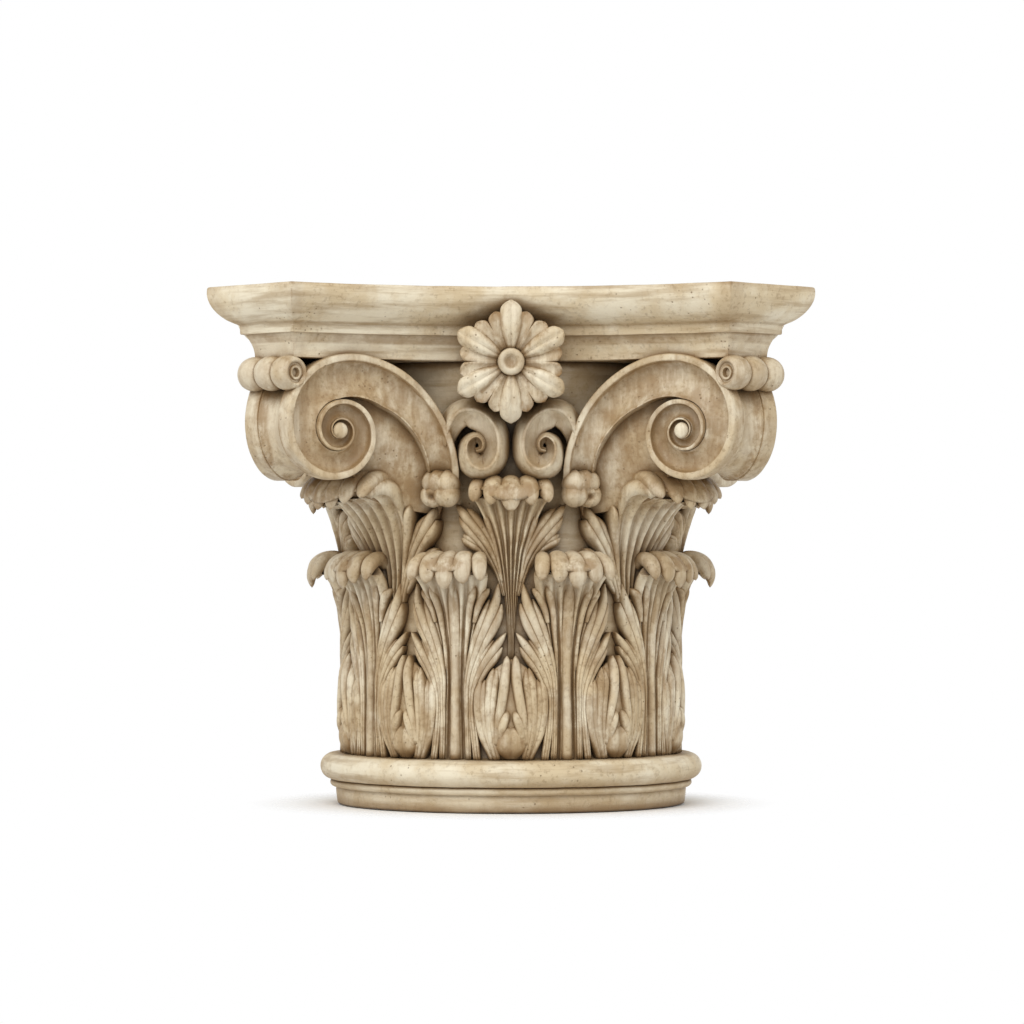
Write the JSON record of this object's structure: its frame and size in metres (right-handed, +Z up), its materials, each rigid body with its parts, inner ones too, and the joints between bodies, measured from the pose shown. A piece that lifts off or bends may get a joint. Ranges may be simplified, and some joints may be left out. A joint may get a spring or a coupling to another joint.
{
  "type": "corinthian capital",
  "caption": "Cast Corinthian column capital with a round base ring, acanthus leaves on a bell, corner volutes, rosettes and a moulded abacus with hollow sides and cut corners.",
  "frame": {"origin": "Centre of the flat underside of the base ring.", "axes": "+Z is up along the column's axis, and -Y faces the viewer of the picture, square to one hollow side of the abacus."},
  "size_m": [0.404, 0.404, 0.351],
  "materials": {
    "antiqued_plaster": "satin"
  },
  "bodies": {
    "root": {"capital": "antiqued_plaster"}
  },
  "joints": []
}
